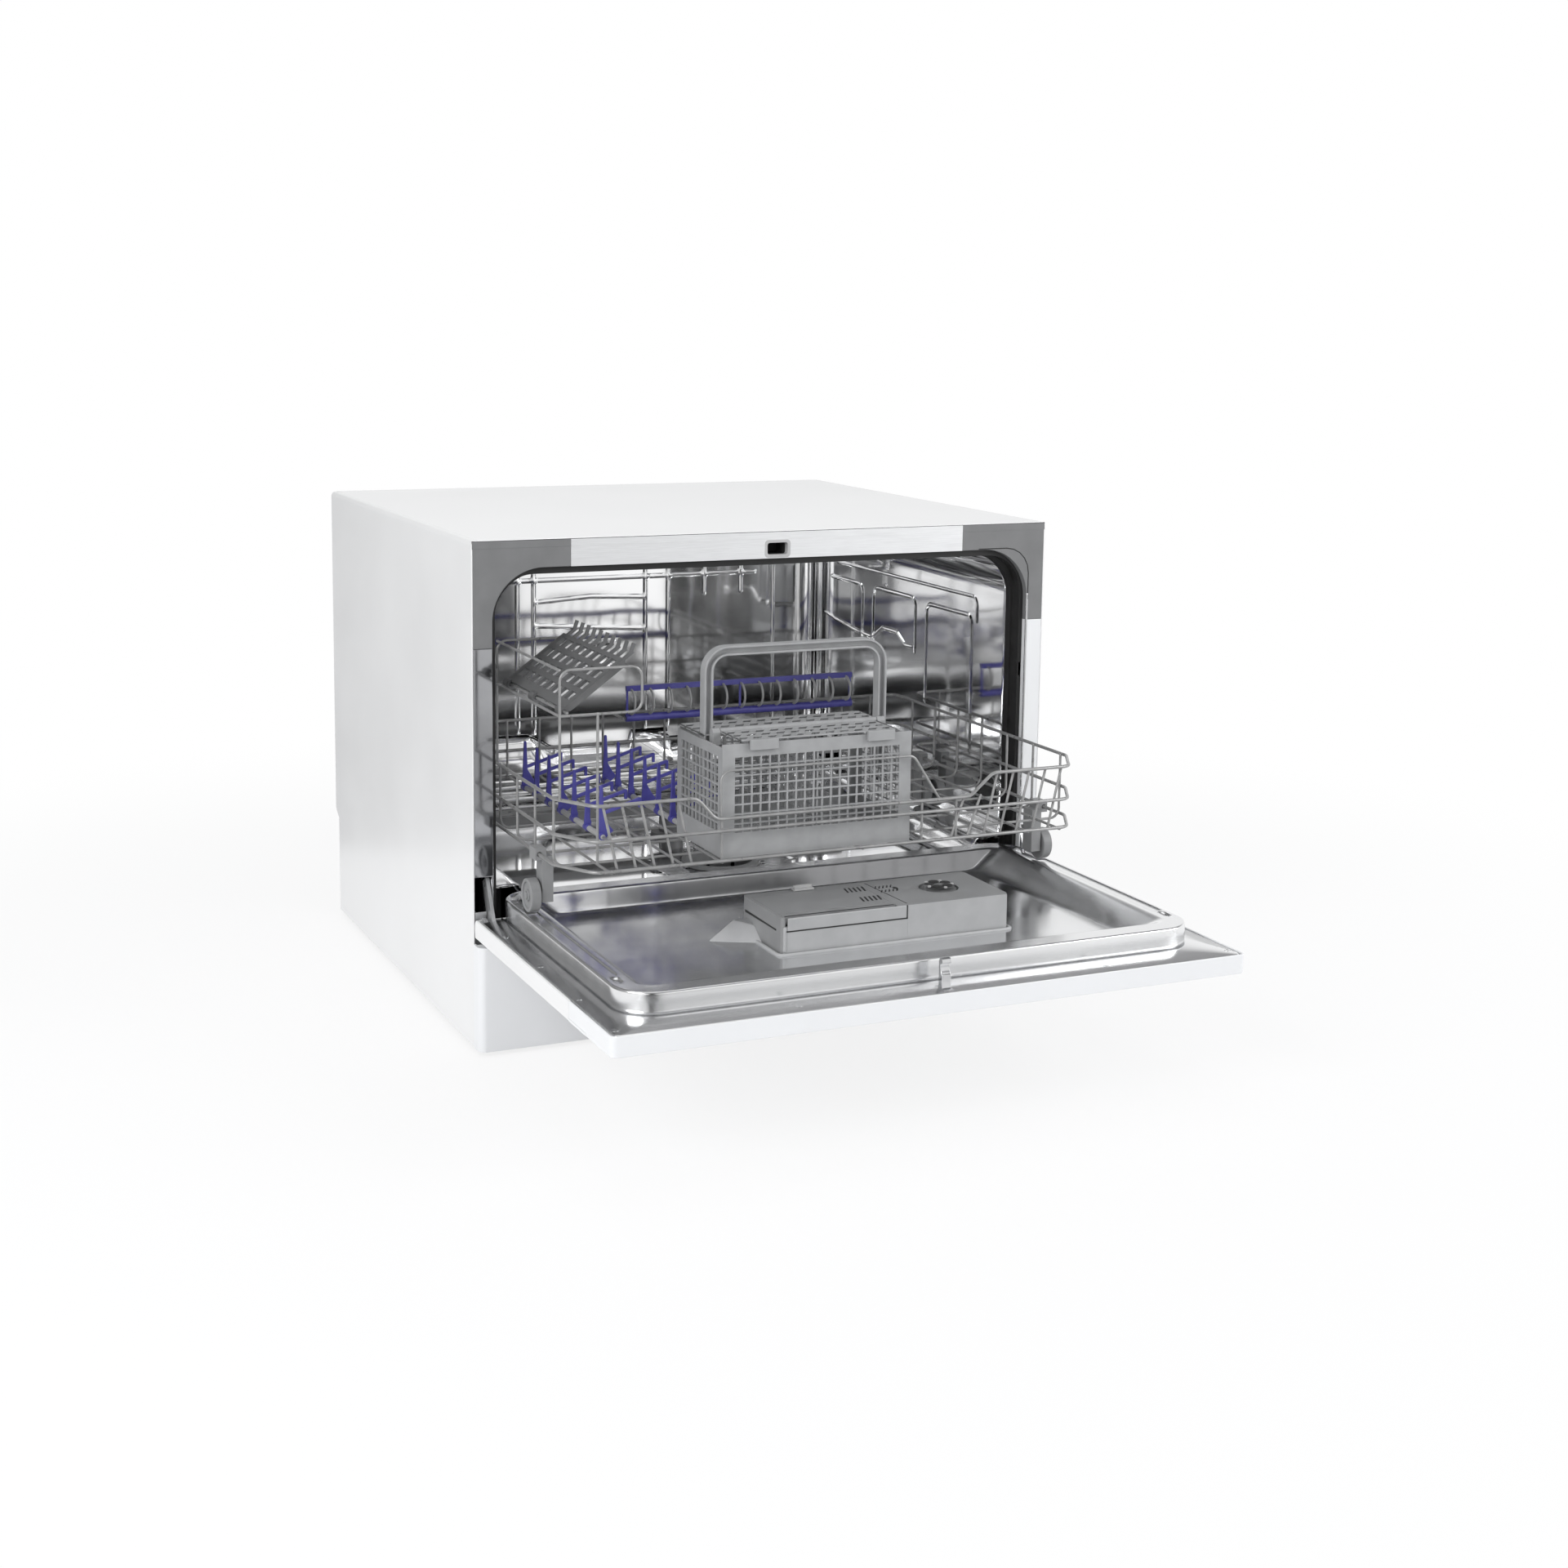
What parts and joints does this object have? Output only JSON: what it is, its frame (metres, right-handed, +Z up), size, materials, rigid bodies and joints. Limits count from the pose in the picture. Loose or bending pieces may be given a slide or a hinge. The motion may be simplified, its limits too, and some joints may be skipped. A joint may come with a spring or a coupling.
{
  "type": "countertop dishwasher",
  "caption": "Compact box-shaped dishwasher with a drop-down door, a rack on wheels that rolls out, a cutlery basket, a cup shelf and folding tines.",
  "frame": {"origin": "centre of the bounding box's footprint at the worktop, with the door lying open", "axes": "+Z up, +X to the right seen from the front, +Y from the open door towards the rear panel"},
  "size_m": [0.55, 0.8166, 0.438],
  "materials": {
    "cabinet_white": "satin",
    "plastic_white": "satin",
    "back_grey": "matt",
    "base_plastic": "matt",
    "rubber_black": "matt",
    "strip_grey": "satin",
    "bracket_grey": "satin",
    "steel_inside": "satin",
    "steel_fittings": "polished",
    "guide_dark": "matt",
    "plastic_grey": "matt",
    "plastic_mid": "matt",
    "plastic_dark": "matt",
    "plastic_light": "satin",
    "wire_grey": "satin",
    "blue_plastic": "satin",
    "display_dark": "gloss",
    "board_green": "matt",
    "motor_dark": "matt"
  },
  "bodies": {
    "cabinet": {"top_panel": "cabinet_white", "side_panel_left": "cabinet_white", "side_panel_right": "cabinet_white", "rear_panel": "back_grey", "base_tray": "base_plastic", "plinth": "plastic_white", "feet": "rubber_black", "frame_strip": "strip_grey", "corner_brackets": "bracket_grey", "front_post_left": "steel_fittings", "front_post_right": "cabinet_white", "tub": "steel_inside", "door_seal": "rubber_black", "sill_seal": "rubber_black", "hinge_brackets": "steel_fittings", "rack_guides": "guide_dark", "sump": "plastic_dark", "filter_plate": "steel_inside", "wash_pump": "motor_dark", "drain_pump": "plastic_dark", "heater": "steel_fittings", "inlet_valve": "plastic_white", "cord_gland": "rubber_black", "spray_post": "plastic_grey", "latch_housing": "plastic_dark"},
    "door": {"door_panel": "cabinet_white", "control_fascia": "plastic_white", "fascia_ledge": "plastic_white", "door_liner": "steel_inside", "door_arms": "steel_fittings", "door_screws": "steel_fittings", "latch_hook": "steel_fittings", "handle_cup": "plastic_light", "display_window": "display_dark", "control_board": "board_green", "dispenser_body": "plastic_grey"},
    "rack": {"rack_floor": "wire_grey", "rack_sides": "wire_grey", "rack_front_panel": "wire_grey", "rack_corners": "wire_grey", "rack_rear_panel": "wire_grey", "rail_bracket": "wire_grey", "wheel_carriers": "plastic_grey", "cup_cradle": "wire_grey"},
    "filter": {"filter_cup": "plastic_grey"},
    "arm": {"spray_arm": "plastic_grey"},
    "catch": {"latch_catch": "steel_fittings"},
    "power_key": {"button_power": "plastic_light"},
    "program_key": {"button_program": "plastic_light"},
    "start_key": {"button_start": "plastic_light"},
    "detergent_lid": {"dispenser_lid": "plastic_grey"},
    "rinse_knob": {"rinse_cap": "plastic_mid"},
    "release_key": {"release_tab": "plastic_light"},
    "wheel_fl": {"wheel_front_left": "plastic_grey"},
    "wheel_fr": {"wheel_front_right": "plastic_grey"},
    "wheel_rl": {"wheel_rear_left": "plastic_grey"},
    "wheel_rr": {"wheel_rear_right": "plastic_grey"},
    "basket": {"cutlery_basket": "plastic_mid", "basket_cross_walls": "plastic_mid", "basket_floor": "plastic_mid", "basket_top": "plastic_mid", "basket_arch": "plastic_mid"},
    "basket_cover": {"basket_lid": "plastic_mid"},
    "shelf": {"cup_shelf": "plastic_dark"},
    "glasses": {"glass_rail": "blue_plastic"},
    "tines_left": {"tine_row_left": "blue_plastic"},
    "tines_right": {"tine_row_right": "blue_plastic"}
  },
  "joints": [
    {"name": "door_hinge", "type": "hinge", "parent": "cabinet", "child": "door", "pos_m": [0, -0.08225, 0.1105], "axis": [-1, 0, 0], "range_deg": [0, 90]},
    {"name": "rack_slide", "type": "slide", "parent": "cabinet", "child": "rack", "axis": [0, 1, 0], "range_m": [0, 0.215]},
    {"name": "filter_twist", "type": "hinge", "parent": "cabinet", "child": "filter", "pos_m": [0, 0.03675, 0.112], "axis": [0, 0, 1], "range_deg": [-60, 0]},
    {"name": "arm_spin", "type": "hinge", "parent": "cabinet", "child": "arm", "pos_m": [0, 0.16175, 0.143], "axis": [0, 0, 1], "continuous": true},
    {"name": "catch_move", "type": "slide", "parent": "cabinet", "child": "catch", "axis": [0, 0, 1], "range_m": [-0.0034, 0], "stiffness_N_per_m": 300, "springref_m": 0.001},
    {"name": "power_press", "type": "slide", "parent": "door", "child": "power_key", "axis": [0, 0, -1], "range_m": [-0.0015, 0], "stiffness_N_per_m": 250, "springref_m": 0.0005},
    {"name": "program_press", "type": "slide", "parent": "door", "child": "program_key", "axis": [0, 0, -1], "range_m": [-0.0015, 0], "stiffness_N_per_m": 250, "springref_m": 0.0005},
    {"name": "start_press", "type": "slide", "parent": "door", "child": "start_key", "axis": [0, 0, -1], "range_m": [-0.0015, 0], "stiffness_N_per_m": 250, "springref_m": 0.0005},
    {"name": "detergent_lid_hinge", "type": "hinge", "parent": "door", "child": "detergent_lid", "pos_m": [-0.03, -0.27425, 0.1455], "axis": [-1, 0, 0], "range_deg": [-100, 0]},
    {"name": "rinse_cap_twist", "type": "hinge", "parent": "door", "child": "rinse_knob", "pos_m": [0.081, -0.23925, 0.146], "axis": [0, 0, 1], "range_deg": [-90, 0]},
    {"name": "release_press", "type": "slide", "parent": "door", "child": "release_key", "axis": [0, -1, 0], "range_m": [-0.002, 0], "stiffness_N_per_m": 250, "springref_m": 0.0005},
    {"name": "wheel_fl_spin", "type": "hinge", "parent": "rack", "child": "wheel_fl", "pos_m": [-0.2435, -0.13525, 0.15], "axis": [1, 0, 0], "continuous": true},
    {"name": "wheel_fr_spin", "type": "hinge", "parent": "rack", "child": "wheel_fr", "pos_m": [0.2435, -0.13525, 0.15], "axis": [1, 0, 0], "continuous": true},
    {"name": "wheel_rl_spin", "type": "hinge", "parent": "rack", "child": "wheel_rl", "pos_m": [-0.2435, 0.09275, 0.15], "axis": [1, 0, 0], "continuous": true},
    {"name": "wheel_rr_spin", "type": "hinge", "parent": "rack", "child": "wheel_rr", "pos_m": [0.2435, 0.09275, 0.15], "axis": [1, 0, 0], "continuous": true},
    {"name": "basket_lift", "type": "slide", "parent": "rack", "child": "basket", "axis": [0, 0, -1], "range_m": [-0.07, 0]},
    {"name": "basket_lid_hinge", "type": "hinge", "parent": "basket", "child": "basket_cover", "pos_m": [-0.0205, -0.17375, 0.2839], "axis": [1, 0, 0], "range_deg": [-110, 0]},
    {"name": "shelf_fold", "type": "hinge", "parent": "rack", "child": "shelf", "pos_m": [-0.2305, -0.10525, 0.31], "axis": [0, 1, 0], "range_deg": [-40, 0]},
    {"name": "glass_rail_fold", "type": "hinge", "parent": "rack", "child": "glasses", "pos_m": [0.057, 0.12375, 0.24], "axis": [-1, 0, 0], "range_deg": [-90, 0]},
    {"name": "tines_left_fold", "type": "hinge", "parent": "rack", "child": "tines_left", "pos_m": [-0.172, -0.00425, 0.1866], "axis": [0, 1, 0], "range_deg": [-55, 0]},
    {"name": "tines_right_fold", "type": "hinge", "parent": "rack", "child": "tines_right", "pos_m": [-0.093, -0.00425, 0.1866], "axis": [0, 1, 0], "range_deg": [-55, 0]}
  ],
  "couplings": [
    {"joint": "rack_slide", "follows": "door_hinge", "m_per_rad": 0.1368}
  ]
}
